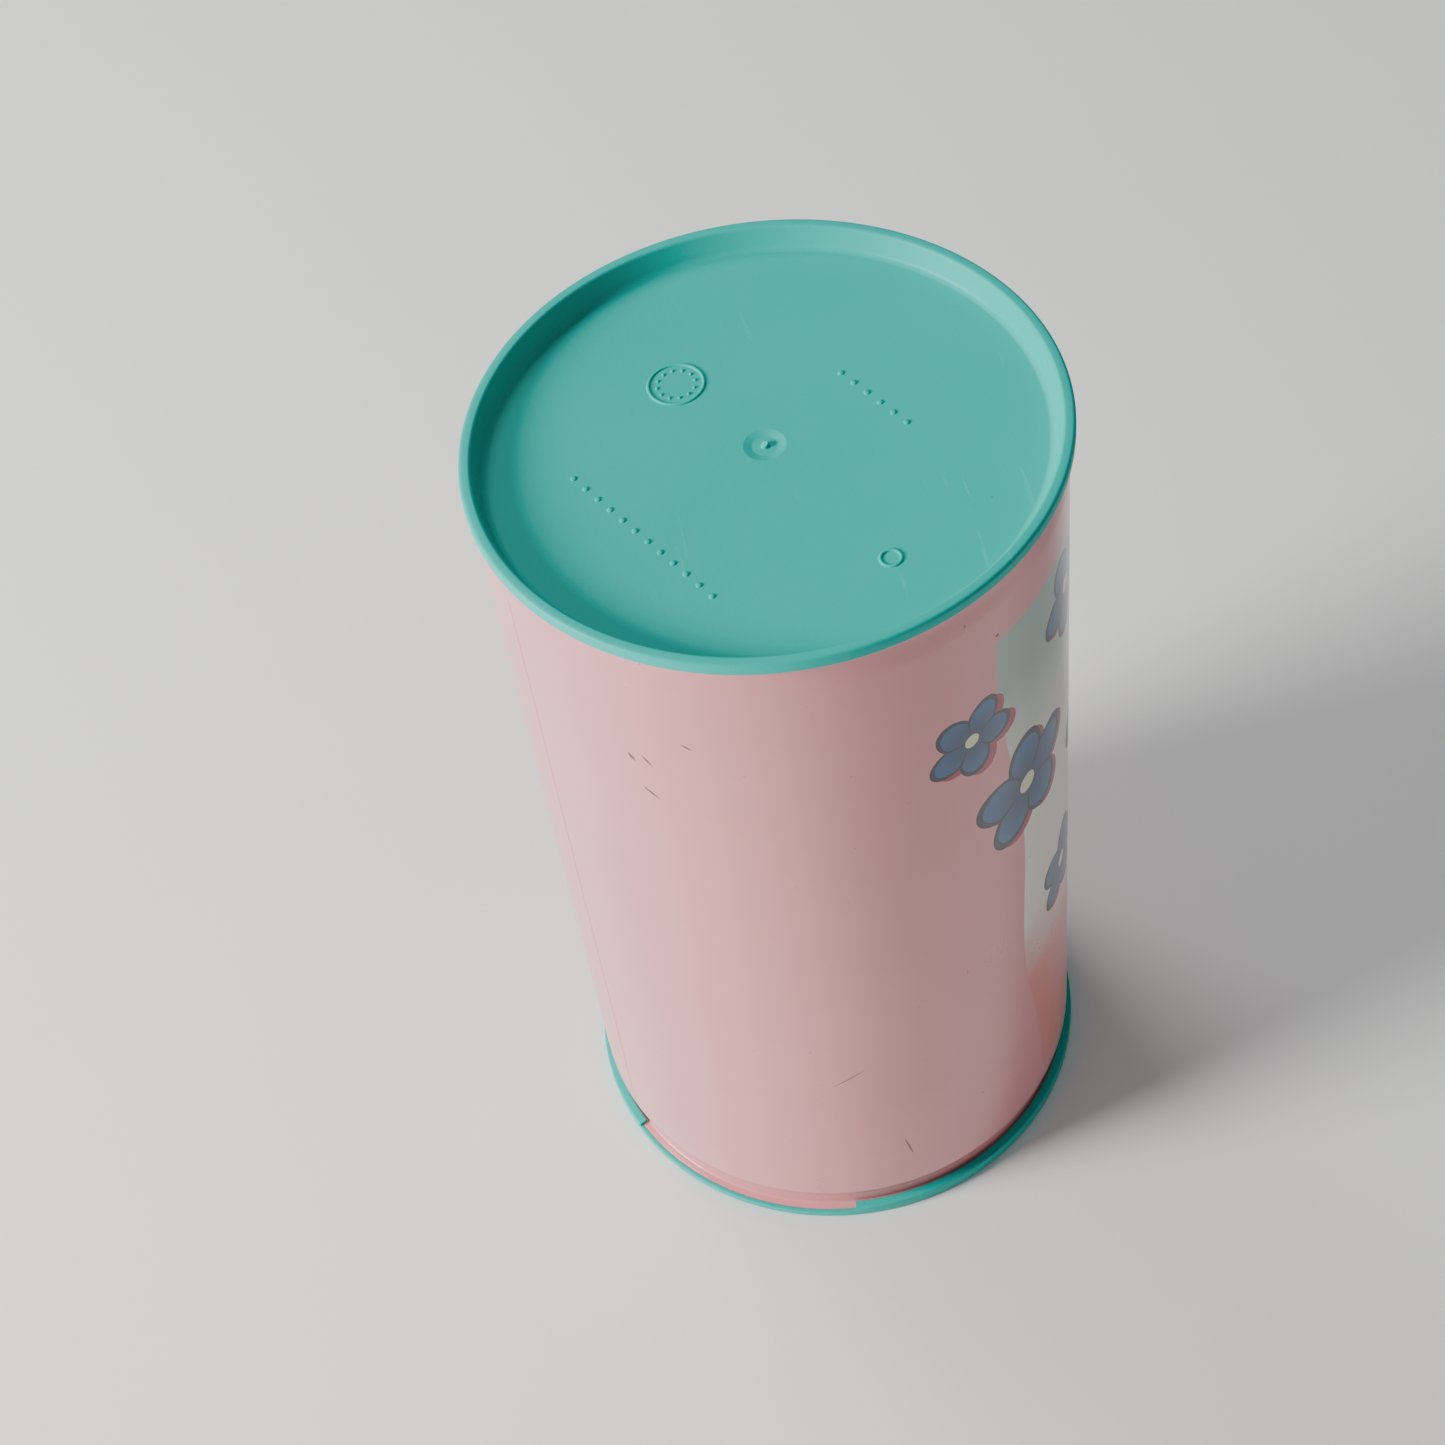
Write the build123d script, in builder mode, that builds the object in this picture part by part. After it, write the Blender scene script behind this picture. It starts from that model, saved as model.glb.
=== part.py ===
from build123d import *
from math import degrees
import os

# Talcum powder tin: a tinplate tube with a moulded base snapped into one end and a moulded
# shaker closure, with a turning dial, over the other. It stands on the closure, base upwards.
# Origin: centre of the face that it stands on. +Z runs along the tin to the base. Millimetres.

# Tin
tin_height = 141.2            # over both moulded ends
rim_radius = 40.0             # outside of the base and of the closure
rim_overhang = 0.75           # rims stand this far out from the tube
plate = 0.3
base_neck_in = 0.35           # how far the tube steps in at each end
closure_neck_in = 1.05
base_neck_height = 1.6
base_shoulder_height = 4.0
closure_neck_height = 2.3
closure_shoulder_height = 3.0
hem_height = 1.1
foot_bend = 0.4               # bend of the tube into its flange
seam_angle = 200.0            # direction of the side seam, from +X
seam_half_sweep = 3.0
seam_groove_half_sweep = 0.25
seam_end_gap = 0.6

# Both moulded ends
plug_play = 0.15              # skirt inside the necks
skirt_wall = 1.2
bead_stand = 0.35             # snap bead, just past each shoulder
bead_half_height = 1.2
plug_tail = 2.5
plug_lead_in = 0.4
rim_round = 0.5
corner_round = 0.25

# Base
base_flange = 1.8
lip_width = 1.6
panel_depth = 3.2
panel_thick = 1.2
cove_radius = 1.0
dimple_radius = 2.85
dimple_depth = 0.25
gate_radius = 0.6
gate_height = 0.45
mark_height = 0.2
dot_radius = 0.45
dot_pitch = 2.6
mark_turn = -62.0             # rows of mould marks lie along this direction
long_row_count = 12
long_row_place = (-18.5, -11.0)
short_row_count = 6
short_row_place = (15.5, 4.0)
date_ring_radius = 4.0
date_ring_width = 0.5
date_ring_place = (-9.0, 14.5)
date_tick_radius = 2.6
small_ring_radius = 1.6
small_ring_place = (11.0, -24.0)

# Closure: collar, deck, pry notch and stop lug
collar_height = 2.4
flange_seat = 1.4             # floor of the groove that grips the tube's flange
collar_edge = 0.5             # wall outside the flange
flange_play = 0.1
pry_start = 202.0
pry_sweep = 60.0
deck_depth = 7.2
deck_thick = 1.4
sift_circle = 24.0            # centres of the two groups of holes
sift_pitch = 4.0
sift_hole = 0.9
turn_sweep = 45.0             # shut to open
lug_reach = 1.5
lug_half_width = 1.5
lug_play = 0.3

# Dial
dial_thick = 1.6
dial_lift = 0.1               # running gap to the deck
dial_play = 0.35              # to the bore round it
floor_gap = 0.4               # grip to the standing face
grip_length = 56.0
grip_width = 8.0
grip_round = 0.8
boss_radius = 5.6

# Rivet and washer
shaft_radius = 1.95
shaft_play = 0.05
head_radius = 3.5
head_thick = 1.0
head_play = 0.3
head_seat = 4.5
head_gap = 0.05
upset_radius = 3.2
upset_thick = 0.8
head_round = 0.35
washer_radius = 4.5
washer_thick = 0.5

# Radii that follow
shell_radius = rim_radius - rim_overhang
base_neck_radius = shell_radius - base_neck_in
closure_neck_radius = shell_radius - closure_neck_in
hem_radius = base_neck_radius + plate
groove_radius = rim_radius - collar_edge
foot_radius = groove_radius - flange_play
base_plug_radius = base_neck_radius - plate - plug_play
base_plug_bore = base_plug_radius - skirt_wall
closure_plug_radius = closure_neck_radius - plate - plug_play
closure_bore = closure_plug_radius - skirt_wall
lip_radius = rim_radius - lip_width
dial_radius = closure_bore - dial_play
shaft_hole = shaft_radius + shaft_play

# Heights that follow
flange_top = flange_seat + plate
closure_shoulder_low = flange_top + closure_neck_height
closure_shoulder_top = closure_shoulder_low + closure_shoulder_height
closure_bead = closure_shoulder_top + bead_half_height
closure_plug_top = closure_bead + bead_half_height + plug_tail
base_seat = tin_height - base_flange
base_shoulder_top = base_seat - base_neck_height
base_shoulder_low = base_shoulder_top - base_shoulder_height
base_bead = base_shoulder_low - bead_half_height
base_plug_low = base_bead - bead_half_height - plug_tail
panel_top = tin_height - panel_depth
deck_top = deck_depth + deck_thick
dial_top = deck_depth - dial_lift
dial_low = dial_top - dial_thick
washer_top = deck_top + washer_thick
head_top = head_seat - head_gap
stop_angle = turn_sweep / 2


def shoulder(start, end, heading):
    """S-shaped step of a half section, parallel to the axis at both ends."""
    middle = ((start[0] + end[0]) / 2, (start[1] + end[1]) / 2)
    first = TangentArc(start, middle, tangent=(0, heading))
    TangentArc(middle, end, tangent=first % 1)


def ring_sector(inner, outer, start, sweep):
    """Outline of a part of a flat ring."""
    near = CenterArc((0, 0), inner, start, sweep)
    far = CenterArc((0, 0), outer, start, sweep)
    Line(near @ 0, far @ 0)
    Line(near @ 1, far @ 1)


def sift_holes(first_angle):
    """Two opposite groups of seven holes, in the sketch being drawn."""
    with PolarLocations(sift_circle, 2, start_angle=first_angle):
        Circle(sift_hole)
        with PolarLocations(sift_pitch, 6):
            Circle(sift_hole)


# Tin body: rolled tube, stepped in at both ends, flanged at the closure and hemmed at the base.
with BuildPart() as tin_body:
    with BuildSketch(Plane.XZ):
        with BuildLine():
            Polyline(
                (foot_radius, flange_seat),
                (foot_radius, flange_top),
                (closure_neck_radius + foot_bend, flange_top),
            )
            TangentArc(
                (closure_neck_radius + foot_bend, flange_top),
                (closure_neck_radius, flange_top + foot_bend),
                tangent=(-1, 0),
            )
            Line((closure_neck_radius, flange_top + foot_bend), (closure_neck_radius, closure_shoulder_low))
            shoulder((closure_neck_radius, closure_shoulder_low), (shell_radius, closure_shoulder_top), 1)
            Line((shell_radius, closure_shoulder_top), (shell_radius, base_shoulder_low))
            shoulder((shell_radius, base_shoulder_low), (base_neck_radius, base_shoulder_top), 1)
            Polyline(
                (base_neck_radius, base_shoulder_top),
                (base_neck_radius, base_seat - hem_height),
                (hem_radius, base_seat - hem_height),
                (hem_radius, base_seat),
                (base_neck_radius - plate, base_seat),
                (base_neck_radius - plate, base_shoulder_top),
            )
            shoulder(
                (base_neck_radius - plate, base_shoulder_top), (shell_radius - plate, base_shoulder_low), -1
            )
            Line((shell_radius - plate, base_shoulder_low), (shell_radius - plate, closure_shoulder_top))
            shoulder(
                (shell_radius - plate, closure_shoulder_top),
                (closure_neck_radius - plate, closure_shoulder_low),
                -1,
            )
            Line(
                (closure_neck_radius - plate, closure_shoulder_low),
                (closure_neck_radius - plate, flange_top + foot_bend),
            )
            TangentArc(
                (closure_neck_radius - plate, flange_top + foot_bend),
                (closure_neck_radius + foot_bend, flange_seat),
                tangent=(0, -1),
            )
            Line((closure_neck_radius + foot_bend, flange_seat), (foot_radius, flange_seat))
        make_face()
    revolve(axis=Axis.Z)
    # side seam: folded strip inside, fine groove outside
    with BuildSketch(Plane.XY.offset(closure_plug_top + seam_end_gap)):
        with BuildLine():
            ring_sector(
                shell_radius - 2 * plate,
                shell_radius - plate / 2,
                seam_angle - seam_half_sweep,
                2 * seam_half_sweep,
            )
        make_face()
    extrude(amount=base_plug_low - closure_plug_top - 2 * seam_end_gap)
    with BuildSketch(Plane.XY.offset(closure_shoulder_top)):
        with BuildLine():
            ring_sector(
                shell_radius - plate / 2,
                shell_radius + plate,
                seam_angle - seam_groove_half_sweep,
                2 * seam_groove_half_sweep,
            )
        make_face()
    extrude(amount=base_shoulder_low - closure_shoulder_top, mode=Mode.SUBTRACT)
tin_body.part.label = "tin_body"

# Base cap: flange over the tube's edge, recessed panel, and a skirt with a snap bead.
with BuildPart() as base_cap:
    with BuildSketch(Plane.XZ):
        with BuildLine():
            Polyline(
                (0, panel_top),
                (base_plug_bore, panel_top),
                (lip_radius, tin_height),
                (rim_radius, tin_height),
                (rim_radius, base_seat),
                (base_plug_radius, base_seat),
                (base_plug_radius, base_bead + bead_half_height),
            )
            ThreePointArc(
                (base_plug_radius, base_bead + bead_half_height),
                (base_plug_radius + bead_stand, base_bead),
                (base_plug_radius, base_bead - bead_half_height),
            )
            Polyline(
                (base_plug_radius, base_bead - bead_half_height),
                (base_plug_radius, base_plug_low + plug_lead_in),
                (base_plug_radius - plug_lead_in, base_plug_low),
                (base_plug_bore, base_plug_low),
                (base_plug_bore, panel_top - panel_thick),
                (0, panel_top - panel_thick),
                (0, panel_top),
            )
        make_face()
    revolve(axis=Axis.Z)
    circles = base_cap.edges().filter_by(GeomType.CIRCLE)
    fillet(circles.group_by(Axis.Z)[-1], rim_round)
    circles = base_cap.edges().filter_by(GeomType.CIRCLE)
    fillet(circles.filter_by(lambda edge: abs(edge.center().Z - panel_top) < corner_round), cove_radius)
    circles = base_cap.edges().filter_by(GeomType.CIRCLE)
    under_rim = circles.filter_by(lambda edge: abs(edge.center().Z - base_seat) < corner_round)
    fillet(under_rim.sort_by(SortBy.RADIUS)[-1], corner_round)
    # moulding gate in its dimple
    with BuildSketch(Plane.XY.offset(panel_top)):
        Circle(dimple_radius)
    extrude(amount=-dimple_depth, taper=60, mode=Mode.SUBTRACT)
    with BuildSketch(Plane.XY.offset(panel_top - dimple_depth)):
        Circle(gate_radius)
    extrude(amount=gate_height, taper=15)
    # plain mould marks: two rows of dots, a date ring with ticks and a small ring
    with BuildSketch(Plane.XY.offset(panel_top)):
        for place, count in ((long_row_place, long_row_count), (short_row_place, short_row_count)):
            with Locations(Location((*place, 0), mark_turn)):
                with GridLocations(dot_pitch, dot_pitch, count, 1):
                    Circle(dot_radius)
        for place, radius in ((date_ring_place, date_ring_radius), (small_ring_place, small_ring_radius)):
            with Locations(place):
                Circle(radius)
                Circle(radius - date_ring_width, mode=Mode.SUBTRACT)
        with Locations(date_ring_place):
            with PolarLocations(date_tick_radius, long_row_count):
                Rectangle(2 * date_ring_width, date_ring_width / 2)
    extrude(amount=mark_height)
base_cap.part.label = "base_cap"

# Shaker collar: ring with a groove for the tube's flange, skirt with a snap bead, and the deck.
with BuildPart() as shaker_collar:
    with BuildSketch(Plane.XZ):
        with BuildLine():
            Polyline(
                (closure_bore, 0),
                (rim_radius, 0),
                (rim_radius, collar_height),
                (closure_neck_radius + foot_bend, collar_height),
                (closure_neck_radius + foot_bend, flange_top),
                (groove_radius, flange_top),
                (groove_radius, flange_seat),
                (closure_plug_radius, flange_seat),
                (closure_plug_radius, closure_bead - bead_half_height),
            )
            ThreePointArc(
                (closure_plug_radius, closure_bead - bead_half_height),
                (closure_plug_radius + bead_stand, closure_bead),
                (closure_plug_radius, closure_bead + bead_half_height),
            )
            Polyline(
                (closure_plug_radius, closure_bead + bead_half_height),
                (closure_plug_radius, closure_plug_top - plug_lead_in),
                (closure_plug_radius - plug_lead_in, closure_plug_top),
                (closure_bore, closure_plug_top),
                (closure_bore, deck_top),
                (0, deck_top),
                (0, deck_depth),
                (closure_bore, deck_depth),
                (closure_bore, 0),
            )
        make_face()
    revolve(axis=Axis.Z)
    circles = shaker_collar.edges().filter_by(GeomType.CIRCLE)
    fillet(circles.group_by(Axis.Z)[0], rim_round)
    # pry notch in the lip, where a coin reaches under the flange
    with BuildSketch(Plane.XY.offset(flange_top)):
        with BuildLine():
            ring_sector(closure_neck_radius, rim_radius + plate, pry_start, pry_sweep)
        make_face()
    extrude(amount=collar_height - flange_top, mode=Mode.SUBTRACT)
    # stop lug for the dial, on the deck and the bore
    lug_half_sweep = degrees(lug_half_width / closure_bore)
    with BuildSketch(Plane.XY.offset(dial_low)):
        with BuildLine():
            ring_sector(
                closure_bore - lug_reach,
                closure_bore + skirt_wall / 2,
                stop_angle - lug_half_sweep,
                2 * lug_half_sweep,
            )
        make_face()
    extrude(amount=deck_depth - dial_low)
    with BuildSketch(Plane.XY.offset(deck_depth)):
        Circle(shaft_hole)
        sift_holes(90 + turn_sweep)
    extrude(amount=deck_thick, mode=Mode.SUBTRACT)
shaker_collar.part.label = "shaker_collar"

# Dial: disc under the deck with matching holes, a grip bar, and an edge notch round the lug.
with BuildPart() as turn_dial:
    with BuildSketch(Plane.XY.offset(floor_gap)):
        SlotOverall(grip_length, grip_width)
        Circle(boss_radius)
    extrude(amount=dial_low - floor_gap)
    fillet(turn_dial.edges().group_by(Axis.Z)[0], grip_round)
    with BuildSketch(Plane.XY.offset(dial_low)):
        Circle(dial_radius)
    extrude(amount=dial_thick)
    lug_play_sweep = degrees(lug_play / closure_bore)
    with BuildSketch(Plane.XY.offset(dial_low)):
        with BuildLine():
            ring_sector(
                closure_bore - lug_reach - lug_play,
                closure_bore,
                stop_angle - turn_sweep - lug_half_sweep - lug_play_sweep,
                turn_sweep + 2 * (lug_half_sweep + lug_play_sweep),
            )
        make_face()
        Circle(shaft_hole)
        sift_holes(90)
    extrude(amount=dial_thick, mode=Mode.SUBTRACT)
    # shaft hole and recess for the rivet's head
    with BuildSketch(Plane.XY.offset(floor_gap)):
        Circle(head_radius + head_play)
    extrude(amount=head_seat - floor_gap, mode=Mode.SUBTRACT)
    with BuildSketch(Plane.XY.offset(head_seat)):
        Circle(shaft_hole)
    extrude(amount=dial_top - head_seat, mode=Mode.SUBTRACT)
turn_dial.part.label = "turn_dial"

# Pivot rivet: head in the dial's recess, shaft through the deck, end upset over the washer.
with BuildPart() as pivot_rivet:
    with BuildSketch(Plane.XY.offset(head_top - head_thick)):
        Circle(head_radius)
    extrude(amount=head_thick)
    with BuildSketch(Plane.XY.offset(head_top)):
        Circle(shaft_radius)
    extrude(amount=washer_top - head_top)
    with BuildSketch(Plane.XY.offset(washer_top)):
        Circle(upset_radius)
    extrude(amount=upset_thick)
    rivet_edges = pivot_rivet.edges().group_by(Axis.Z)
    fillet(rivet_edges[0] + rivet_edges[-1], head_round)
pivot_rivet.part.label = "pivot_rivet"

# Washer that spreads the upset end on the deck.
with BuildPart() as rivet_washer:
    with BuildSketch(Plane.XY.offset(deck_top)):
        Circle(washer_radius)
        Circle(shaft_hole, mode=Mode.SUBTRACT)
    extrude(amount=washer_thick)
rivet_washer.part.label = "rivet_washer"

os.makedirs("parts", exist_ok=True)
export_step(tin_body.part, "parts/tin_body.step")
export_step(base_cap.part, "parts/base_cap.step")
export_step(shaker_collar.part, "parts/shaker_collar.step")
export_step(turn_dial.part, "parts/turn_dial.step")
export_step(pivot_rivet.part, "parts/pivot_rivet.step")
export_step(rivet_washer.part, "parts/rivet_washer.step")
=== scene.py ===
import bmesh
import bpy
import numpy as np
from mathutils import Matrix, Vector


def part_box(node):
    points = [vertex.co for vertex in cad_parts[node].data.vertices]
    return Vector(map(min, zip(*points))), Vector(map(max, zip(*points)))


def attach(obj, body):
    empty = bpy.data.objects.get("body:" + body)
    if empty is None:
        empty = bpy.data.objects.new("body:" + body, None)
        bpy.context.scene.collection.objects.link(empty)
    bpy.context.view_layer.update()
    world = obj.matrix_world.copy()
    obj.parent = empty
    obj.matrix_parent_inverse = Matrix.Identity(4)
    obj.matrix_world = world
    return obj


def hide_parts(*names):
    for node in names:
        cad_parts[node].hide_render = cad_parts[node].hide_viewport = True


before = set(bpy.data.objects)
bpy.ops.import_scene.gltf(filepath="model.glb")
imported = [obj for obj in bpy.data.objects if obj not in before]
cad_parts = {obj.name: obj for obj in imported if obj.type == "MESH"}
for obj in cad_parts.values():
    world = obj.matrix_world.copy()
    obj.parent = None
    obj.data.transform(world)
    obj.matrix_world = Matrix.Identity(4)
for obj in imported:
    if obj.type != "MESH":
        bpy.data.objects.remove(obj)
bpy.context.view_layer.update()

# ---- Tin body ---------------------------------------------------------------------------------
# A rolled tube of thin tinplate, lacquered pink and printed before it was rolled. It steps in at
# both ends, turns out into a flange at the closure and is hemmed under the base.
mm = 0.001
tin_low, tin_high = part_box("tin_body")
cap_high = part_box("base_cap")[1]
rim_radius = cap_high.x
plate = 0.3 * mm
rim_overhang = 0.75 * mm
base_neck_in = 0.35 * mm
closure_neck_in = 1.05 * mm
foot_bend = 0.4 * mm
hem_height = 1.1 * mm
shell_radius = rim_radius - rim_overhang
base_neck = shell_radius - base_neck_in
closure_neck = shell_radius - closure_neck_in
closure_shoulder = (tin_low.z + 2.6 * mm, tin_low.z + 5.6 * mm)
base_shoulder = (tin_high.z - 5.6 * mm, tin_high.z - 1.6 * mm)
seam_turn = np.radians(200)
sharp_angle = np.radians(35)
weld = 1e-7


def rounded_outline(corners, steps=7):
    """Points along a closed outline of (radius, height, rounding) corners.

    A rounded corner becomes an arc that leaves each side rounding / tan(half its angle) from the
    corner; its centre lies on the bisector, rounding / sin(half its angle) away.
    """
    points = []
    for i, (r, z, rounding) in enumerate(corners):
        corner = np.array((r, z))
        if not rounding:
            points.append(corner)
            continue
        before = np.array(corners[i - 1][:2]) - corner
        after = np.array(corners[(i + 1) % len(corners)][:2]) - corner
        before /= np.linalg.norm(before)
        after /= np.linalg.norm(after)
        half = np.arccos(np.clip(before @ after, -1, 1)) / 2
        centre = corner + (before + after) / np.linalg.norm(before + after) * rounding / np.sin(half)
        first = corner + before * rounding / np.tan(half) - centre
        last = corner + after * rounding / np.tan(half) - centre
        turn = np.arctan2(first[0] * last[1] - first[1] * last[0], first @ last)
        angles = np.linspace(0, turn, steps)
        x = first[0] * np.cos(angles) - first[1] * np.sin(angles)
        y = first[0] * np.sin(angles) + first[1] * np.cos(angles)
        points.extend(centre + np.stack([x, y], 1))
    return np.array(points)


def shoulder(start, end, steps=14):
    """Step between two (radius, height) points: the radius follows 3s^2 - 2s^3 as the height rises."""
    s = np.linspace(0, 1, steps)
    blend = 3 * s**2 - 2 * s**3
    r = start[0] + (end[0] - start[0]) * blend
    z = start[1] + (end[1] - start[1]) * s
    return np.stack([r, z], 1)


def solid_from_grid(
    name, grid, wrap=True, along=None, material=None, body="tin", replaces=()
):
    """Closed solid from a grid of points (sections x outline points x 3).

    Quads join each section to the next. A ring that doesn't close is capped at both ends; points
    that fall together, as at a pole, are merged. along gives each section's first UV coordinate.
    """
    sections, count = grid.shape[:2]
    index = np.arange(sections * count).reshape(sections, count)
    across = np.roll(index, -1, 1)
    if wrap:
        near, far = index, np.roll(index, -1, 0)
        near_across, far_across = across, np.roll(across, -1, 0)
    else:
        near, far = index[:-1], index[1:]
        near_across, far_across = across[:-1], across[1:]
    quads = np.stack([near, near_across, far_across, far], -1).reshape(-1, 4)
    faces = quads.tolist()
    if not wrap:
        faces += [index[0].tolist(), index[-1][::-1].tolist()]
    mesh = bpy.data.meshes.new(name)
    mesh.from_pydata(grid.reshape(-1, 3).tolist(), [], faces)
    if along is not None:
        layer = mesh.uv_layers.new(name="sheet")
        ends = np.append(along, along[-1] + (along[1] - along[0]))
        u_near = np.repeat(ends[: len(near)], count)
        u_far = np.repeat(ends[1 : len(near) + 1], count)
        height = grid[..., 2]
        v_near = height[: len(near)].reshape(-1)
        v_across = np.roll(height, -1, 1)[: len(near)].reshape(-1)
        u = np.stack([u_near, u_near, u_far, u_far], 1)
        v = np.stack([v_near, v_across, v_across, v_near], 1)
        layer.data.foreach_set("uv", np.stack([u, v], -1).astype(np.float32).ravel())
    edit = bmesh.new()
    edit.from_mesh(mesh)
    bmesh.ops.remove_doubles(edit, verts=edit.verts, dist=weld)
    bmesh.ops.dissolve_degenerate(edit, edges=edit.edges, dist=1e-8)
    bmesh.ops.recalc_face_normals(edit, faces=edit.faces)
    edit.to_mesh(mesh)
    edit.free()
    mesh.shade_smooth()
    mesh.set_sharp_from_angle(angle=sharp_angle)
    return add_piece(name, mesh, material, body, replaces)


def add_piece(name, mesh, material, body, replaces=()):
    """Links a mesh as a piece that rides on a body, takes a slot and stands for CAD nodes."""
    piece = bpy.data.objects.new(name, mesh)
    bpy.context.scene.collection.objects.link(piece)
    mesh.materials.append(material)
    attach(piece, body)
    if replaces:
        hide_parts(*replaces)
    return piece


def turned_grid(outline, turns):
    """Outline turned about the z axis: x = r cos a, y = r sin a for each angle a."""
    r, z = outline[:, 0], outline[:, 1]
    x = np.cos(turns)[:, None] * r
    y = np.sin(turns)[:, None] * r
    return np.stack([x, y, np.broadcast_to(z, x.shape)], -1)


def full_turn(segments=256):
    """Evenly spaced angles once round."""
    return np.linspace(0, 2 * np.pi, segments, endpoint=False)


def add_node(tree, kind, feeds=None, **settings):
    """Adds a node, sets its attributes, and fills its inputs from sockets or plain values."""
    made = tree.nodes.new(kind)
    for key, value in settings.items():
        setattr(made, key, value)
    for key, value in (feeds or {}).items():
        if isinstance(value, bpy.types.NodeSocket):
            tree.links.new(value, made.inputs[key])
        else:
            made.inputs[key].default_value = value
    return made


def calc(tree, operation, *values):
    """Math node's result."""
    made = add_node(tree, "ShaderNodeMath", dict(enumerate(values)), operation=operation)
    return made.outputs[0]


def mix_colours(tree, mask, under, over):
    """Colour that is under where the mask is 0 and over where it is 1."""
    made = add_node(tree, "ShaderNodeMix", {0: mask, 6: under, 7: over}, data_type="RGBA")
    return made.outputs[2]


def noise(tree, place, scale, detail=3.0, stretch=None):
    """Noise value at a scale in patterns per metre, optionally stretched along the axes."""
    if stretch:
        place = add_node(tree, "ShaderNodeMapping", {"Vector": place, "Scale": stretch}).outputs[0]
    made = add_node(tree, "ShaderNodeTexNoise", {"Vector": place, "Scale": scale, "Detail": detail})
    return made.outputs["Fac"]


def ramp(tree, value, low, high, to_low=0.0, to_high=1.0):
    """Value mapped smoothly from low..high to to_low..to_high and held outside."""
    feeds = {"Value": value, "From Min": low, "From Max": high, "To Min": to_low, "To Max": to_high}
    return add_node(tree, "ShaderNodeMapRange", feeds, interpolation_type="SMOOTHSTEP").outputs[0]


def new_finish(name):
    """Node tree and shader of a new material."""
    finish = bpy.data.materials.new(name)
    finish.use_nodes = True
    return finish, finish.node_tree, finish.node_tree.nodes["Principled BSDF"]


def bloom_group():
    """Five-petalled flower about a centre.

    The petals' rim lies at 0.60 + 0.40 |cos(2.5 a)| of the size at angle a. Edge is how far a
    point lies past it and Ring how far from the centre, both in sizes; Cleft is |cos(2.5 a)|.
    """
    group = bpy.data.node_groups.new("printed bloom", "ShaderNodeTree")
    for key in ("Across", "Up", "Centre Across", "Centre Up", "Size", "Turn"):
        group.interface.new_socket(key, in_out="INPUT", socket_type="NodeSocketFloat")
    for key in ("Edge", "Ring", "Cleft"):
        group.interface.new_socket(key, in_out="OUTPUT", socket_type="NodeSocketFloat")
    given = group.nodes.new("NodeGroupInput").outputs
    x = calc(group, "SUBTRACT", given["Across"], given["Centre Across"])
    y = calc(group, "SUBTRACT", given["Up"], given["Centre Up"])
    squares = calc(group, "ADD", calc(group, "MULTIPLY", x, x), calc(group, "MULTIPLY", y, y))
    span = calc(group, "SQRT", squares)
    ring = calc(group, "DIVIDE", span, given["Size"])
    angle = calc(group, "ADD", calc(group, "ARCTAN2", y, x), given["Turn"])
    lobe = calc(group, "ABSOLUTE", calc(group, "COSINE", calc(group, "MULTIPLY", angle, 2.5)))
    rim = calc(group, "MULTIPLY_ADD", lobe, 0.40, 0.60)
    given_back = group.nodes.new("NodeGroupOutput").inputs
    group.links.new(calc(group, "SUBTRACT", ring, rim), given_back["Edge"])
    group.links.new(ring, given_back["Ring"])
    group.links.new(lobe, given_back["Cleft"])
    return group


def scratch_mask(tree, across, up, start, end, width):
    """1 within width of the line from start to end, in metres on the sheet."""
    a, b = np.array(start), np.array(end)
    length = np.linalg.norm(b - a)
    d = (b - a) / length
    x, y = calc(tree, "SUBTRACT", across, a[0]), calc(tree, "SUBTRACT", up, a[1])
    along = calc(tree, "ADD", calc(tree, "MULTIPLY", x, d[0]), calc(tree, "MULTIPLY", y, d[1]))
    off = calc(tree, "SUBTRACT", calc(tree, "MULTIPLY", y, d[0]), calc(tree, "MULTIPLY", x, d[1]))
    off = calc(tree, "ABSOLUTE", off)
    past_start = calc(tree, "GREATER_THAN", along, 0.0)
    inside = calc(tree, "MULTIPLY", past_start, calc(tree, "LESS_THAN", along, length))
    # a scratch tapers to nothing at both ends
    taper = calc(tree, "SINE", calc(tree, "MULTIPLY", along, np.pi / length))
    return calc(tree, "MULTIPLY", inside, calc(tree, "LESS_THAN", off, calc(tree, "MULTIPLY", taper, width)))


# flowers on the sheet: degrees from the seam, height and size in millimetres, turn in radians
BLOOMS = ((97, 112, 7.0, 0.2), (113, 92, 10.5, 0.9), (134, 118, 8.5, 1.7), (131, 58, 8.0, 2.4),
          (152, 84, 11.0, 0.4), (172, 112, 7.5, 1.2), (170, 48, 9.0, 2.0), (199, 90, 9.5, 0.7),
          (222, 66, 8.0, 1.5), (218, 116, 9.0, 2.2))
# scratches: start and end, in degrees from the seam and millimetres up, and half width
SCRATCHES = (
    ((30, 112), (33.5, 110), 0.22), ((31, 119), (33.2, 117), 0.2), ((28, 118.5), (29.5, 117), 0.3),
    ((40, 123.5), (42.2, 122.6), 0.18), ((104, 129), (104.8, 128.6), 0.3), ((60, 40), (68, 44), 0.12),
    ((75, 21), (77, 15), 0.15), ((310, 70), (318, 76), 0.15), ((275, 30), (278, 22), 0.2),
    ((332, 118), (335, 113), 0.18),
)
# printed panel: its lower and upper edges, its slanting left edge and its right edge
PANEL_LOW, PANEL_HIGH = 11 * mm, 127.5 * mm
PANEL_LEFT_LOW = np.radians(117) * shell_radius
PANEL_LEFT_HIGH = np.radians(105) * shell_radius
PANEL_RIGHT = np.radians(246) * shell_radius


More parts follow.
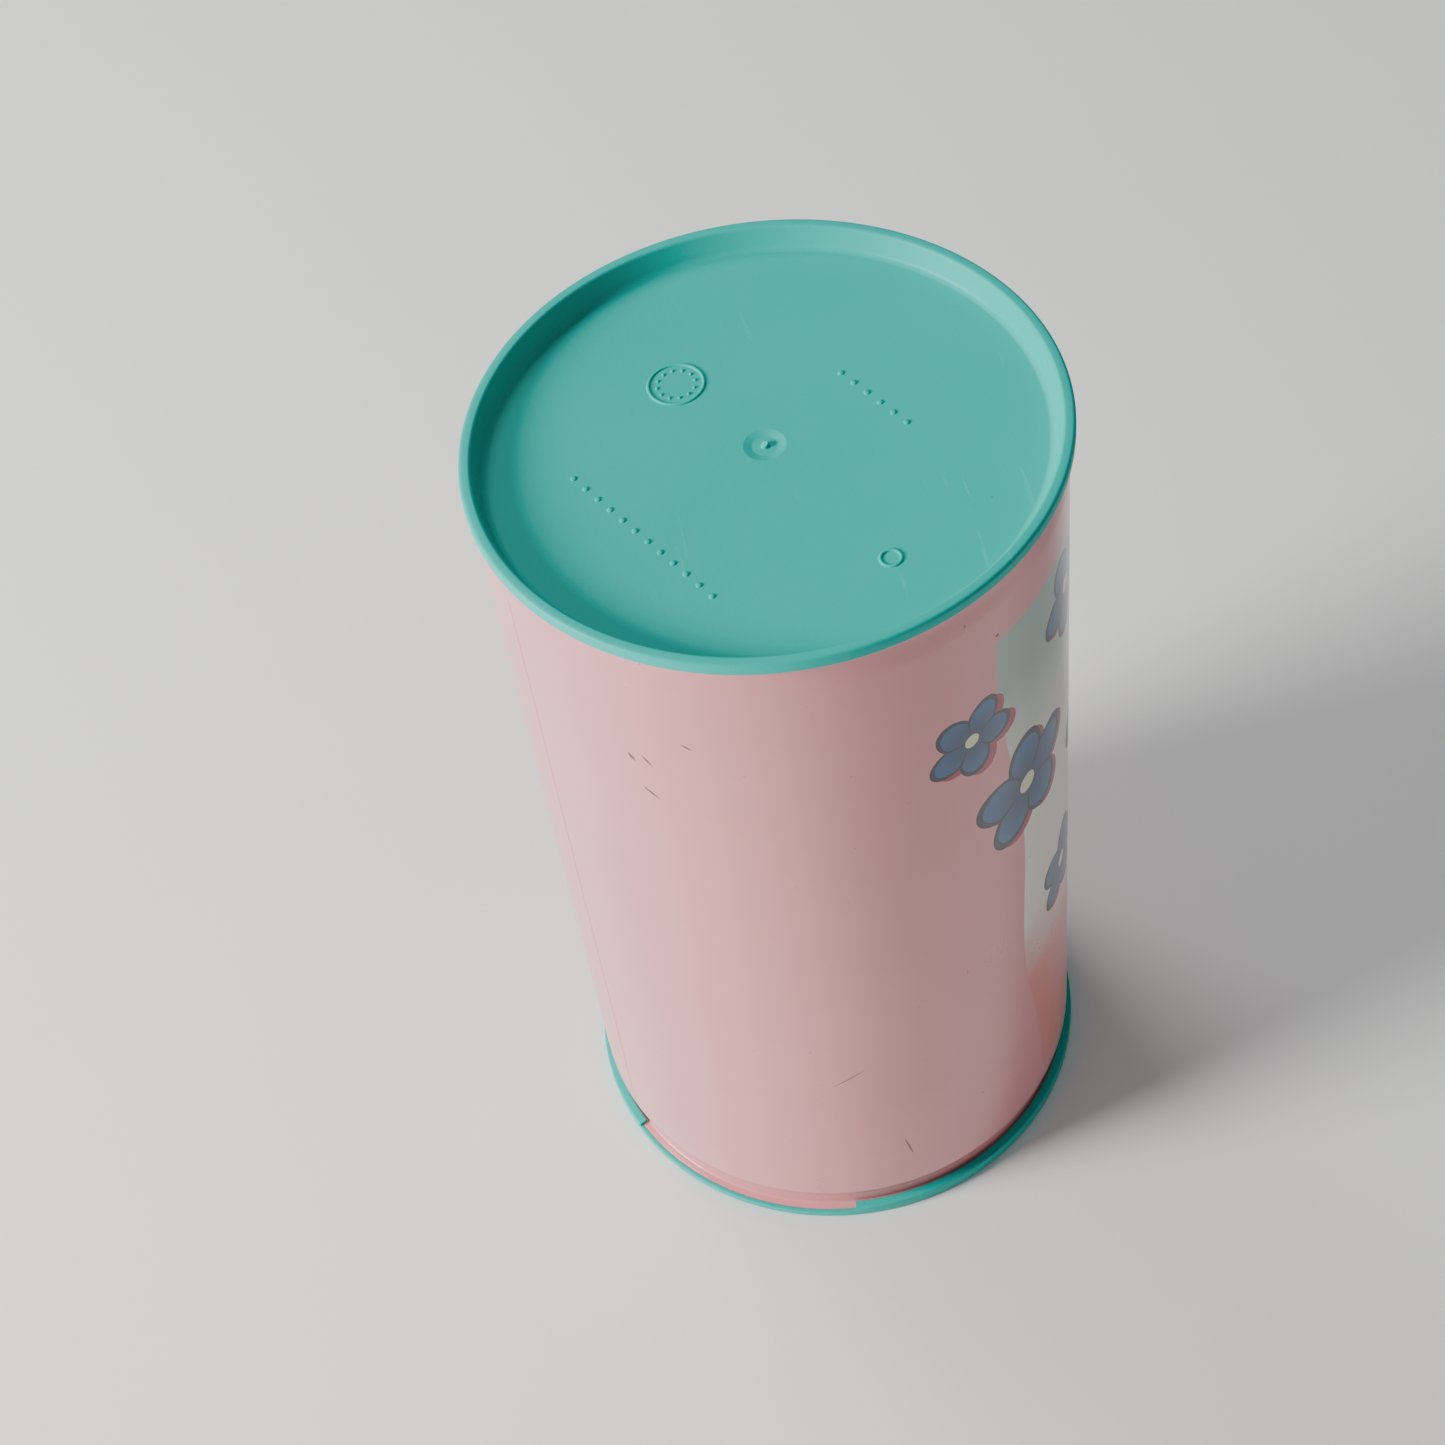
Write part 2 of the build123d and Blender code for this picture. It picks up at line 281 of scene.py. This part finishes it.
def lacquered_tinplate():
    """Glossy pink lacquer with a printed panel of flowers, scratched through to the bare plate."""
    finish, tree, shader = new_finish("lacquered tinplate")
    sheet = add_node(tree, "ShaderNodeUVMap", uv_map="sheet").outputs[0]
    split = add_node(tree, "ShaderNodeSeparateXYZ", {0: sheet}).outputs
    across, up = split[0], split[1]
    place = add_node(tree, "ShaderNodeTexCoord").outputs["Object"]
    cloud = noise(tree, place, 45.0)
    speck = noise(tree, place, 900.0)
    pink = mix_colours(tree, ramp(tree, cloud, 0.3, 0.7), (0.70, 0.27, 0.285, 1), (0.675, 0.252, 0.27, 1))

    # panel: grey-green at the top, off-white, then coral below
    slope = (PANEL_LEFT_HIGH - PANEL_LEFT_LOW) / (PANEL_HIGH - PANEL_LOW)
    left_edge = calc(tree, "MULTIPLY_ADD", up, slope, PANEL_LEFT_LOW - slope * PANEL_LOW)
    waver = calc(tree, "MULTIPLY", calc(tree, "SINE", calc(tree, "MULTIPLY", up, 95.0)), 0.0012)
    past_left = calc(tree, "SUBTRACT", across, calc(tree, "ADD", left_edge, waver))
    panel = calc(tree, "GREATER_THAN", past_left, 0.0)
    panel = calc(tree, "MULTIPLY", panel, calc(tree, "LESS_THAN", across, PANEL_RIGHT))
    panel = calc(tree, "MULTIPLY", panel, calc(tree, "GREATER_THAN", up, PANEL_LOW))
    panel = calc(tree, "MULTIPLY", panel, calc(tree, "LESS_THAN", up, PANEL_HIGH))
    wash = noise(tree, place, 70.0, 5.0)
    drift = calc(tree, "MULTIPLY_ADD", wash, 0.016, -0.008)
    tint_up = calc(tree, "ADD", up, drift)
    tint = mix_colours(tree, ramp(tree, tint_up, 0.038, 0.062), (0.70, 0.22, 0.19, 1), (0.76, 0.72, 0.63, 1))
    tint = mix_colours(tree, ramp(tree, tint_up, 0.086, 0.120), tint, (0.30, 0.41, 0.36, 1))
    print_colour = mix_colours(tree, panel, pink, tint)

    # flowers: crimson plate slightly out of register, blue fill, navy line, pale eye
    group = bloom_group()
    for degrees, height, size, turn in BLOOMS:
        centre = (np.radians(degrees) * shell_radius, height * mm)
        masks = []
        for shift in (1.0, 0.0):
            feeds = {"Across": across, "Up": up, "Centre Across": centre[0] + shift * 1.3 * mm,
                     "Centre Up": centre[1] - shift * 1.0 * mm, "Size": size * mm, "Turn": turn}
            masks.append(add_node(tree, "ShaderNodeGroup", feeds, node_tree=group).outputs)
        shadow, flower = masks
        print_colour = mix_colours(
            tree, calc(tree, "LESS_THAN", shadow["Edge"], 0.04), print_colour, (0.35, 0.022, 0.053, 1))
        print_colour = mix_colours(
            tree, calc(tree, "LESS_THAN", flower["Edge"], 0.06), print_colour, (0.0097, 0.013, 0.026, 1))
        petal = mix_colours(
            tree, ramp(tree, flower["Ring"], 0.2, 0.95), (0.006, 0.04, 0.11, 1), (0.016, 0.10, 0.24, 1))
        inside = calc(tree, "LESS_THAN", flower["Edge"], -0.06)
        cleft = calc(tree, "MULTIPLY", calc(tree, "LESS_THAN", flower["Cleft"], 0.13),
                     calc(tree, "GREATER_THAN", flower["Ring"], 0.25))
        inside = calc(tree, "MULTIPLY", inside, calc(tree, "SUBTRACT", 1.0, cleft))
        print_colour = mix_colours(tree, inside, print_colour, petal)
        print_colour = mix_colours(
            tree, calc(tree, "LESS_THAN", flower["Ring"], 0.17), print_colour, (0.70, 0.66, 0.42, 1))

    # bare plate shows in the scratches
    bare = None
    for (a0, z0), (a1, z1), width in SCRATCHES:
        start = (np.radians(a0) * shell_radius, z0 * mm)
        end = (np.radians(a1) * shell_radius, z1 * mm)
        mark = scratch_mask(tree, across, up, start, end, width * mm)
        bare = mark if bare is None else calc(tree, "MAXIMUM", bare, mark)
    # the lacquer is chipped at the hem and along the flange
    ends = calc(tree, "MAXIMUM", ramp(tree, up, tin_high.z - 1.6 * mm, tin_high.z - 0.6 * mm),
                ramp(tree, up, tin_low.z + 1.4 * mm, tin_low.z, 0.0, 1.0))
    chipped = calc(tree, "GREATER_THAN", calc(tree, "MULTIPLY", ends, noise(tree, place, 520.0)), 0.66)
    bare = calc(tree, "MAXIMUM", bare, chipped)
    # fine specks of dirt
    dirt = calc(tree, "GREATER_THAN", speck, 0.765)
    colour = mix_colours(tree, calc(tree, "MULTIPLY", dirt, 0.6), print_colour, (0.10, 0.06, 0.055, 1))
    colour = mix_colours(tree, bare, colour, (0.16, 0.13, 0.125, 1))
    tree.links.new(colour, shader.inputs["Base Color"])
    tree.links.new(calc(tree, "MULTIPLY", bare, 0.85), shader.inputs["Metallic"])
    handling = noise(tree, place, 28.0, 6.0)
    rubbed = noise(tree, place, 300.0, 2.0, (1, 1, 0.15))
    gloss = calc(tree, "MULTIPLY_ADD", handling, 0.16, 0.19)
    gloss = calc(tree, "MULTIPLY_ADD", rubbed, 0.06, gloss)
    gloss = calc(tree, "MULTIPLY_ADD", bare, 0.2, gloss)
    tree.links.new(gloss, shader.inputs["Roughness"])
    shader.inputs["Coat Weight"].default_value = 0.35
    shader.inputs["Coat Roughness"].default_value = 0.12
    relief = calc(tree, "MULTIPLY_ADD", noise(tree, place, 26.0, 2.0), 1.8, noise(tree, place, 480.0, 2.0))
    relief = calc(tree, "SUBTRACT", relief, calc(tree, "MULTIPLY", bare, 2.0))
    bump = add_node(tree, "ShaderNodeBump", {"Height": relief, "Strength": 0.12, "Distance": 0.0002})
    tree.links.new(bump.outputs[0], shader.inputs["Normal"])
    return finish


def tin_wall():
    """Both faces of the tube: the inner face repeats the outer one a plate's thickness inside."""
    outer = [
        rounded_outline([
            (tin_high.x, tin_low.z, 0), (tin_high.x, tin_low.z + plate, plate / 3),
            (closure_neck, tin_low.z + plate, foot_bend), (closure_neck, closure_shoulder[0], 0)]),
        shoulder((closure_neck, closure_shoulder[0]), (shell_radius, closure_shoulder[1]))[1:],
        np.stack([
            np.full(24, shell_radius), np.linspace(closure_shoulder[1], base_shoulder[0], 26)[1:-1]], 1),
        shoulder((shell_radius, base_shoulder[0]), (base_neck, base_shoulder[1])),
        rounded_outline([
            (base_neck, tin_high.z - hem_height, 0), (base_neck + plate, tin_high.z - hem_height, plate / 2),
            (base_neck + plate, tin_high.z, plate / 2), (base_neck - plate, tin_high.z, 0)]),
    ]
    inner = [
        shoulder((shell_radius - plate, base_shoulder[0]), (base_neck - plate, base_shoulder[1]))[::-1],
        shoulder(
            (closure_neck - plate, closure_shoulder[0]), (shell_radius - plate, closure_shoulder[1]))[::-1],
        rounded_outline([
            (closure_neck - plate, closure_shoulder[0] - plate, 0),
            (closure_neck - plate, tin_low.z, foot_bend + plate), (tin_high.x, tin_low.z, 0)])[:-1],
    ]
    outline = np.concatenate(outer + inner)
    # more columns near the seam, whose groove is narrower than the even spacing
    close = np.radians([0, 0.15, 0.3, 0.45, 0.7])
    turns = np.concatenate([close, np.radians(np.linspace(1.2, 358.8, 318)), 2 * np.pi - close[:0:-1]])
    grid = turned_grid(outline, seam_turn + turns)
    groove = np.clip(1 - (np.minimum(turns, 2 * np.pi - turns) / close[3]) ** 2, 0, None) * plate / 2
    on_shell = np.abs(outline[:, 0] - shell_radius) < mm / 100
    depth = groove[:, None] * on_shell
    grid[..., 0] -= depth * np.cos(seam_turn + turns)[:, None]
    grid[..., 1] -= depth * np.sin(seam_turn + turns)[:, None]
    return grid, turns * shell_radius


pink_finish = lacquered_tinplate()
wall_grid, wall_along = tin_wall()
solid_from_grid("tin_wall", wall_grid, along=wall_along, material=pink_finish,
                replaces=("tin_body",))


# ---- Base -------------------------------------------------------------------------------------
# A teal moulding pressed into the tube: a rounded flange over the hem, a recessed panel, and a
# skirt with a rounded lead-in. The panel keeps the stub of its gate and plain raised mould marks.
def teal_moulding():
    """Satin polyethylene: even colour, faint flow streaks from the gate, scuffs and dark specks."""
    finish, tree, shader = new_finish("teal moulding")
    place = add_node(tree, "ShaderNodeTexCoord").outputs["Object"]
    split = add_node(tree, "ShaderNodeSeparateXYZ", {0: place}).outputs
    cloud = noise(tree, place, 30.0, 4.0)
    colour = mix_colours(tree, ramp(tree, cloud, 0.3, 0.7), (0.0, 0.45, 0.385, 1), (0.0, 0.42, 0.365, 1))
    flow = calc(tree, "ARCTAN2", split[1], split[0])
    span = add_node(tree, "ShaderNodeVectorMath", {0: place}, operation="LENGTH").outputs["Value"]
    outward = calc(tree, "MULTIPLY", span, 30.0)
    polar = add_node(tree, "ShaderNodeCombineXYZ", {0: flow, 1: outward}).outputs[0]
    streak = noise(tree, polar, 7.0, 2.0)
    colour = mix_colours(tree, ramp(tree, streak, 0.62, 0.85, 0.0, 0.3), colour, (0.004, 0.48, 0.42, 1))
    scuff = noise(tree, place, 700.0, 4.0, (1.0, 0.12, 1.0))
    patches = ramp(tree, noise(tree, place, 40.0), 0.5, 0.62)
    scuffed = calc(tree, "MULTIPLY", ramp(tree, scuff, 0.66, 0.74), patches)
    colour = mix_colours(tree, calc(tree, "MULTIPLY", scuffed, 0.3), colour, (0.06, 0.56, 0.50, 1))
    dirt = calc(tree, "GREATER_THAN", noise(tree, place, 650.0, 2.0), 0.79)
    colour = mix_colours(tree, calc(tree, "MULTIPLY", dirt, 0.55), colour, (0.01, 0.12, 0.10, 1))
    tree.links.new(colour, shader.inputs["Base Color"])
    rough = calc(tree, "MULTIPLY_ADD", noise(tree, place, 160.0, 5.0), 0.16, 0.36)
    tree.links.new(calc(tree, "MULTIPLY_ADD", scuffed, 0.15, rough), shader.inputs["Roughness"])
    shader.inputs["Specular IOR Level"].default_value = 0.2
    relief = calc(tree, "MULTIPLY_ADD", noise(tree, place, 32.0, 2.0), 3.0, noise(tree, place, 1600.0, 2.0))
    relief = calc(tree, "MULTIPLY_ADD", scuffed, 0.6, relief)
    bump = add_node(tree, "ShaderNodeBump", {"Height": relief, "Strength": 0.14, "Distance": 0.0001})
    tree.links.new(bump.outputs[0], shader.inputs["Normal"])
    return finish


teal_finish = teal_moulding()
cap_top = cap_high.z
cap_plug_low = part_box("base_cap")[0].z
panel_depth = 3.2 * mm
panel_thick = 1.2 * mm
lip_width = 1.6 * mm
plug_play = 0.15 * mm
skirt_wall = 1.2 * mm
plug_tail = 2.5 * mm
rim_round = 0.5 * mm
plug_lead_in = 0.4 * mm
panel_top = cap_top - panel_depth
lip_radius = rim_radius - lip_width
cap_plug = base_neck - plate - plug_play
cap_bore = cap_plug - skirt_wall
dimple_radius = 2.85 * mm
dimple_depth = 0.25 * mm
base_outline = rounded_outline([
    (0, panel_top - dimple_depth, 0),
    (dimple_radius * 0.6, panel_top - dimple_depth, dimple_radius * 0.3),
    (dimple_radius, panel_top, dimple_radius * 0.25),
    (cap_bore, panel_top, 1.0 * mm),
    (lip_radius, cap_top, rim_round),
    (rim_radius, cap_top, rim_round),
    (rim_radius, tin_high.z, 0.25 * mm),
    (cap_plug, tin_high.z, 0),
    (cap_plug, cap_plug_low + plug_tail, 0),
    (cap_plug, cap_plug_low, plug_lead_in),
    (cap_bore, cap_plug_low, 0),
    (cap_bore, panel_top - panel_thick, 0.4 * mm),
    (0, panel_top - panel_thick, 0),
])
solid_from_grid("base_moulding", turned_grid(base_outline, full_turn()), material=teal_finish,
                replaces=("base_cap",))

# gate stub: torn off a little crooked when the moulding was broken from its runner
gate_outline = rounded_outline([
    (0, panel_top - dimple_depth - 0.1 * mm, 0), (0.62 * mm, panel_top - dimple_depth - 0.1 * mm, 0),
    (0.48 * mm, panel_top + 0.2 * mm, 0.12 * mm), (0, panel_top + 0.14 * mm, 0)])
gate_grid = turned_grid(gate_outline, full_turn(32))
gate_grid[..., 2] += np.where(gate_grid[..., 2] > panel_top, gate_grid[..., 0] * 0.35, 0)
solid_from_grid("gate_stub", gate_grid, material=teal_finish)

mark_height = 0.2 * mm
mark_turn = np.radians(-62)


def ridge(place, radius, width, steps=36):
    """Ring of half-round section standing on the panel, or a dome where the radius is 0."""
    tall = np.sin(np.linspace(0, np.pi, 9)) * mark_height
    if radius:
        r = radius - width / 2 * np.cos(np.linspace(0, np.pi, 9))
        low = [(radius + width / 2, -mark_height / 4), (radius - width / 2, -mark_height / 4)]
    else:
        r = width / 2 * np.sin(np.linspace(0, np.pi / 2, 9))
        tall = np.cos(np.linspace(0, np.pi / 2, 9)) * mark_height
        low = [(width / 2, -mark_height / 4), (0, -mark_height / 4)]
    outline = np.concatenate([np.stack([r, tall], 1), low])
    grid = turned_grid(outline, full_turn(steps))
    return grid + np.array((place[0] * mm, place[1] * mm, panel_top))


# places on the panel in millimetres
date_place = (-9.0, 14.5)
tick_circle = 2.6
dot_pitch = 2.6
marks = {
    "date_ring": ridge(date_place, 3.75 * mm, 0.5 * mm, 64),
    "small_ring": ridge((11, -24), 1.35 * mm, 0.5 * mm),
}
for label, place, count in (("long_row", (-18.5, -11.0), 12), ("short_row", (15.5, 4.0), 6)):
    for i in range(count):
        along = (i - (count - 1) / 2) * dot_pitch
        dot = (place[0] + along * np.cos(mark_turn), place[1] + along * np.sin(mark_turn))
        marks[f"{label}_{i:02d}"] = ridge(dot, 0, 0.9 * mm, 16)
for i in range(12):
    turn = np.radians(30 * i)
    tick = (date_place[0] + tick_circle * np.cos(turn), date_place[1] + tick_circle * np.sin(turn))
    marks[f"date_tick_{i:02d}"] = ridge(tick, 0, 0.55 * mm, 12)
for name, grid in marks.items():
    solid_from_grid("mark_" + name, grid, material=teal_finish)


# ---- Shaker collar ----------------------------------------------------------------------------
# A teal ring that grips the tube's flange in a groove. Its lip is cut away for a sixth of the way
# round, where the pink flange shows. The sifter deck closes its bore.
collar_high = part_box("shaker_collar")[1]
flange_top = tin_low.z + plate
collar_top = 2.4 * mm
collar_edge = 0.5 * mm
groove_radius = rim_radius - collar_edge
collar_plug = closure_neck - plate - plug_play
bore = collar_plug - skirt_wall
deck_low, deck_high = 7.2 * mm, 8.6 * mm
notch_start, notch_end = 202, 262
turn_sweep = 45
stop_turn = np.radians(turn_sweep / 2)
lug_reach = 1.5 * mm
lug_half_width = 1.5 * mm
lug_low = 5.5 * mm
collar_outline = rounded_outline([
    (bore, 0, rim_round), (rim_radius, 0, rim_round), (rim_radius, flange_top, 0),
    (groove_radius, flange_top, 0), (groove_radius, tin_low.z, 0), (collar_plug, tin_low.z, 0),
    (collar_plug, collar_high.z, plug_lead_in), (bore, collar_high.z, 0)])
solid_from_grid("collar_ring", turned_grid(collar_outline, full_turn()), material=teal_finish,
                replaces=("shaker_collar",))
lip_outline = rounded_outline([
    (closure_neck + foot_bend, flange_top, 0), (rim_radius, flange_top, 0),
    (rim_radius, collar_top, 0.2 * mm), (closure_neck + foot_bend, collar_top, 0.15 * mm)])
lip_turns = np.radians(np.linspace(notch_end, notch_start + 360, 220))
solid_from_grid("collar_lip", turned_grid(lip_outline, lip_turns), wrap=False, material=teal_finish)
lug_half = lug_half_width / bore
lug_root = bore + 0.5 * mm
lug_outline = rounded_outline([
    (bore - lug_reach, lug_low, 0.2 * mm), (lug_root, lug_low, 0),
    (lug_root, deck_low, 0), (bore - lug_reach, deck_low, 0)])
lug_turns = stop_turn + np.linspace(-lug_half, lug_half, 8)
solid_from_grid("stop_lug", turned_grid(lug_outline, lug_turns), wrap=False, material=teal_finish)


def circle_points(radius, centre=(0, 0), count=48):
    """Points round a circle: centre plus radius times (cos a, sin a)."""
    turns = full_turn(count)
    return np.stack([centre[0] + radius * np.cos(turns), centre[1] + radius * np.sin(turns)], 1)


sift_circle = 24 * mm
sift_pitch = 4 * mm
sift_hole = 0.9 * mm


def sifter_centres(first):
    """Centres of two opposite groups of seven holes, one in the middle and six round it."""
    centres = []
    for group in (first, first + 180):
        turn = np.radians(group)
        middle = sift_circle * np.array((np.cos(turn), np.sin(turn)))
        centres.append(middle)
        for step in range(6):
            around = turn + np.radians(60 * step)
            centres.append(middle + sift_pitch * np.array((np.cos(around), np.sin(around))))
    return centres


def flat_plate(name, outlines, low, high, body, rounding=0.0):
    """Flat plate filled between closed outlines, those inside the first being holes."""
    curve = bpy.data.curves.new(name, "CURVE")
    curve.dimensions = "2D"
    curve.fill_mode = "BOTH"
    curve.extrude = (high - low) / 2 - rounding
    curve.bevel_depth = rounding
    curve.bevel_resolution = 3
    curve.offset = -rounding
    for outline in outlines:
        spline = curve.splines.new("POLY")
        spline.points.add(len(outline) - 1)
        flat = np.concatenate([outline, np.zeros((len(outline), 1)), np.ones((len(outline), 1))], 1)
        spline.points.foreach_set("co", flat.astype(np.float32).ravel())
        spline.use_cyclic_u = True
    holder = bpy.data.objects.new(name + "_curve", curve)
    bpy.context.scene.collection.objects.link(holder)
    bpy.context.view_layer.update()
    mesh = bpy.data.meshes.new_from_object(holder)
    bpy.data.objects.remove(holder)
    mesh.name = name
    mesh.transform(Matrix.Translation((0, 0, (low + high) / 2)))
    edit = bmesh.new()
    edit.from_mesh(mesh)
    bmesh.ops.remove_doubles(edit, verts=edit.verts, dist=weld)
    bmesh.ops.recalc_face_normals(edit, faces=edit.faces)
    edit.to_mesh(mesh)
    edit.free()
    mesh.shade_smooth()
    mesh.set_sharp_from_angle(angle=sharp_angle)
    mesh.materials.clear()
    return add_piece(name, mesh, teal_finish, body)


shaft_hole = 2.0 * mm
deck_holes = [circle_points(sift_hole, centre, 24) for centre in sifter_centres(90 + turn_sweep)]
deck_edge = circle_points(bore + 0.3 * mm, count=200)
flat_plate("sifter_deck", [deck_edge, circle_points(shaft_hole)] + deck_holes, deck_low, deck_high, "tin")


# ---- Dial -------------------------------------------------------------------------------------
# A teal disc that turns under the deck, with a grip bar for the fingers. Its edge is notched for
# the stop lug, and its holes meet the deck's when it is turned to its stop.
dial_low, dial_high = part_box("turn_dial")
dial_thick = 1.6 * mm
dial_play = 0.35 * mm
lug_play = 0.3 * mm
disc_low = dial_high.z - dial_thick
dial_radius = bore - dial_play
notch_half = lug_half + lug_play / bore
notch_turns = stop_turn + np.array((-np.radians(turn_sweep) - notch_half, notch_half))
round_the_back = np.linspace(notch_turns[1], notch_turns[0] + 2 * np.pi, 180)
across_notch = np.linspace(notch_turns[0], notch_turns[1], 40)
notch_radius = bore - lug_reach - lug_play
disc_edge = np.concatenate([
    dial_radius * np.stack([np.cos(round_the_back), np.sin(round_the_back)], 1),
    notch_radius * np.stack([np.cos(across_notch), np.sin(across_notch)], 1)])
dial_holes = [circle_points(sift_hole, centre, 24) for centre in sifter_centres(90)]
disc = flat_plate("dial_disc", [disc_edge, circle_points(shaft_hole)] + dial_holes,
                  disc_low, dial_high.z, "dial")
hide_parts("turn_dial")

grip_half, grip_half_width, boss_radius = 28 * mm, 4 * mm, 5.6 * mm
x = -grip_half * np.cos(np.linspace(0, np.pi, 120))
# a bar with round ends and, across its middle, a round boss: the wider of the two at each x
past_straight = np.clip(np.abs(x) - grip_half + grip_half_width, 0, None)
bar_edge = np.sqrt(np.clip(grip_half_width**2 - past_straight**2, 0, None))
boss_edge = np.sqrt(np.clip(boss_radius**2 - x**2, 0, None))
edge = np.maximum(bar_edge, boss_edge)
grip_edge = np.concatenate([np.stack([x, -edge], 1), np.stack([x, edge], 1)[-2:0:-1]])
# the bar and the seat run a little into the disc, as one moulding
head_recess, seat_edge, seat_low = 3.8 * mm, 4.4 * mm, 4.5 * mm
flat_plate("grip_bar", [grip_edge, circle_points(head_recess)],
           dial_low.z, disc_low + 0.4 * mm, "dial", 0.5 * mm)
flat_plate("rivet_seat", [circle_points(seat_edge), circle_points(shaft_hole)],
           seat_low, disc_low + 0.2 * mm, "dial")


# ---- Rivet and washer -------------------------------------------------------------------------
# A plain steel rivet through the dial and the deck. Its head sits in the grip's recess, and its
# far end is upset over a washer, so that the dial stays free to turn.
def plain_steel():
    """Bright plated steel with turned rings, dulled by handling."""
    finish, tree, shader = new_finish("plain steel")
    place = add_node(tree, "ShaderNodeTexCoord").outputs["Object"]
    grime = noise(tree, place, 600.0, 4.0)
    colour = mix_colours(tree, ramp(tree, grime, 0.45, 0.75), (0.56, 0.56, 0.55, 1), (0.27, 0.25, 0.23, 1))
    tree.links.new(colour, shader.inputs["Base Color"])
    shader.inputs["Metallic"].default_value = 1.0
    tree.links.new(calc(tree, "MULTIPLY_ADD", grime, 0.3, 0.2), shader.inputs["Roughness"])
    rings = add_node(tree, "ShaderNodeTexWave", {"Vector": place, "Scale": 900.0, "Distortion": 0.6},
                     wave_type="RINGS", rings_direction="Z").outputs["Fac"]
    bump = add_node(tree, "ShaderNodeBump", {"Height": rings, "Strength": 0.1, "Distance": 0.00005})
    tree.links.new(bump.outputs[0], shader.inputs["Normal"])
    return finish


steel_finish = plain_steel()
rivet_low, rivet_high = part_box("pivot_rivet")
head_thick, upset_thick = 1.0 * mm, 0.8 * mm
head_radius, shaft_radius, upset_radius = 3.5 * mm, 1.95 * mm, 3.2 * mm
head_round = 0.35 * mm
head_top = rivet_low.z + head_thick
upset_low = rivet_high.z - upset_thick
rivet_outline = rounded_outline([
    (0, rivet_low.z, 0), (head_radius, rivet_low.z, head_round), (head_radius, head_top, 0),
    (shaft_radius, head_top, 0), (shaft_radius, upset_low, 0), (upset_radius, upset_low, 0),
    (upset_radius, rivet_high.z, head_round), (0, rivet_high.z, 0)])
solid_from_grid("rivet", turned_grid(rivet_outline, full_turn(72)), material=steel_finish,
                replaces=("pivot_rivet",))
washer_low, washer_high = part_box("rivet_washer")
washer_radius = 4.5 * mm
washer_round = 0.1 * mm
washer_outline = rounded_outline([
    (shaft_hole, washer_low.z, 0), (washer_radius, washer_low.z, washer_round),
    (washer_radius, washer_high.z, washer_round), (shaft_hole, washer_high.z, 0)])
solid_from_grid("washer", turned_grid(washer_outline, full_turn(72)), material=steel_finish,
                replaces=("rivet_washer",))


# ---- Floor, light and camera ------------------------------------------------------------------
# A pale floor, a soft key light from the left, one from above and behind, a weak fill from the
# near side, a pale surround, and the camera above the near side.
def pale_floor():
    """Matt off-white paper."""
    finish, tree, shader = new_finish("pale floor")
    place = add_node(tree, "ShaderNodeTexCoord").outputs["Object"]
    colour = mix_colours(tree, noise(tree, place, 12.0), (0.86, 0.86, 0.85, 1), (0.82, 0.82, 0.81, 1))
    tree.links.new(colour, shader.inputs["Base Color"])
    shader.inputs["Roughness"].default_value = 0.9
    return finish


reach = 3.0
floor_mesh = bpy.data.meshes.new("floor")
corners = [(-reach, -reach, 0), (reach, -reach, 0), (reach, reach, 0), (-reach, reach, 0)]
floor_mesh.from_pydata(corners, [], [(0, 1, 2, 3)])
floor_mesh.materials.append(pale_floor())
floor = bpy.data.objects.new("floor", floor_mesh)
bpy.context.scene.collection.objects.link(floor)

middle = Vector((0, 0, cap_top / 2))
for name, place, size, power, tint in (
    ("key", (-0.85, -0.12, 0.45), 0.34, 18.0, (1.0, 0.985, 0.96)),
    ("top", (-0.35, 0.60, 0.85), 0.5, 4.5, (1.0, 1.0, 1.0)),
    ("fill", (0.15, -0.9, 0.5), 0.5, 0.3, (0.95, 0.97, 1.0)),
):
    lamp = bpy.data.lights.new(name, "AREA")
    lamp.shape = "DISK"
    lamp.size = size
    lamp.energy = power
    lamp.color = tint
    holder = bpy.data.objects.new(name, lamp)
    holder.location = place
    holder.rotation_euler = (middle - Vector(place)).to_track_quat("-Z", "Y").to_euler()
    bpy.context.scene.collection.objects.link(holder)
world = bpy.data.worlds.new("studio")
world.use_nodes = True
world.node_tree.nodes["Background"].inputs["Color"].default_value = (0.95, 0.96, 1.0, 1)
world.node_tree.nodes["Background"].inputs["Strength"].default_value = 0.24
bpy.context.scene.world = world

# the lens looks down on the base from the near side, its frame moved a little off its axis
lens = bpy.data.cameras.new("camera")
lens.sensor_width = 36
lens.lens = 65.29
lens.shift_x = 0.0666
lens.shift_y = 0.0969
camera = bpy.data.objects.new("camera", lens)
right, above, back = (0.9751, -0.1785, -0.1315), (0.2217, 0.7851, 0.5782), (0.0, -0.5930, 0.8052)
turned_to = Matrix((right, above, back)).transposed().to_4x4()
camera.matrix_world = Matrix.Translation((-0.0296, -0.2417, 0.3835)) @ turned_to
bpy.context.scene.collection.objects.link(camera)
bpy.context.scene.camera = camera
